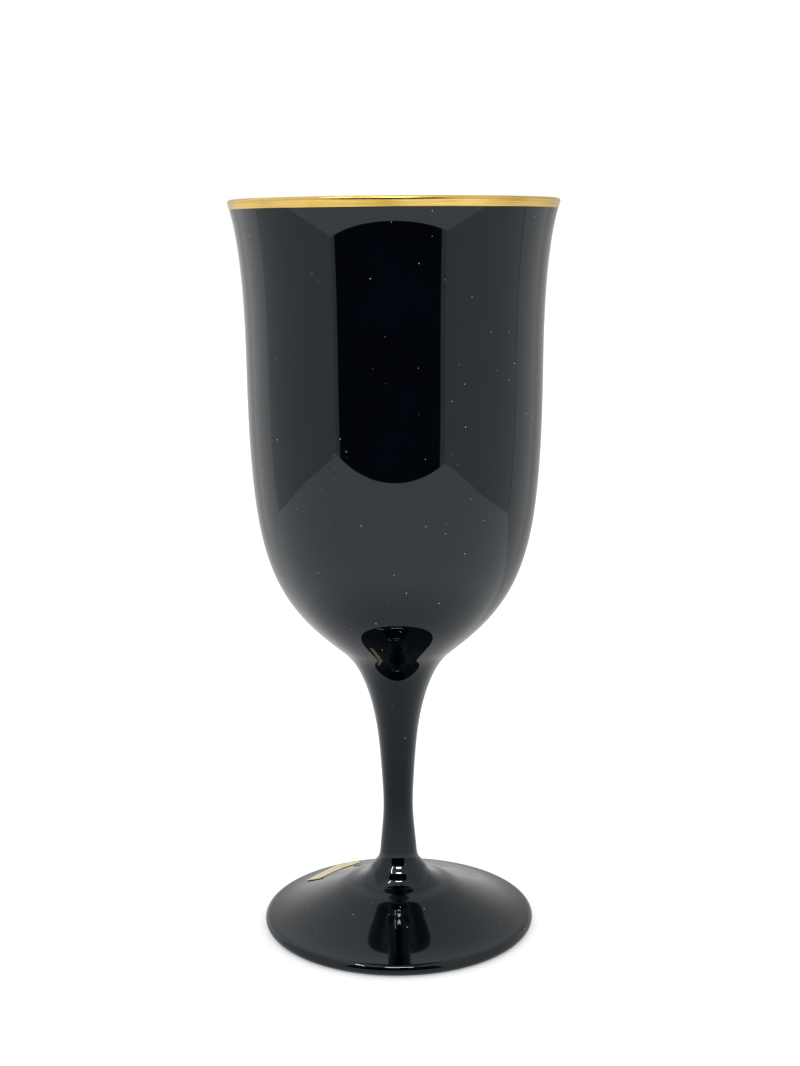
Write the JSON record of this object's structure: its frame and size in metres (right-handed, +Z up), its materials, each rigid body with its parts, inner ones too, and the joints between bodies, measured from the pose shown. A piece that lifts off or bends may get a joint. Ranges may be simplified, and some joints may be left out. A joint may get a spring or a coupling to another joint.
{
  "type": "goblet",
  "caption": "Stemmed drinking goblet in opaque black glass: deep bell bowl with a flared lip, gold rim, slim stem, small collar and domed round foot.",
  "frame": {"origin": "centre of the foot's resting ring, on the surface that the goblet stands on", "axes": "+Z up along the goblet's axis of revolution; -Y faces the viewer; the small label lies on the -X +Y side of the foot"},
  "size_m": [0.0826, 0.0826, 0.19],
  "materials": {
    "black_glass": "fire-polished, opaque",
    "fired_gold": "fired gold, lightly brushed",
    "gold_foil": "satin pale-gold foil"
  },
  "bodies": {
    "root": {"bowl": "black_glass", "gold_rim_band": "fired_gold", "stem": "black_glass", "foot_collar": "black_glass", "foot": "black_glass", "foil_label": "gold_foil"}
  },
  "joints": []
}
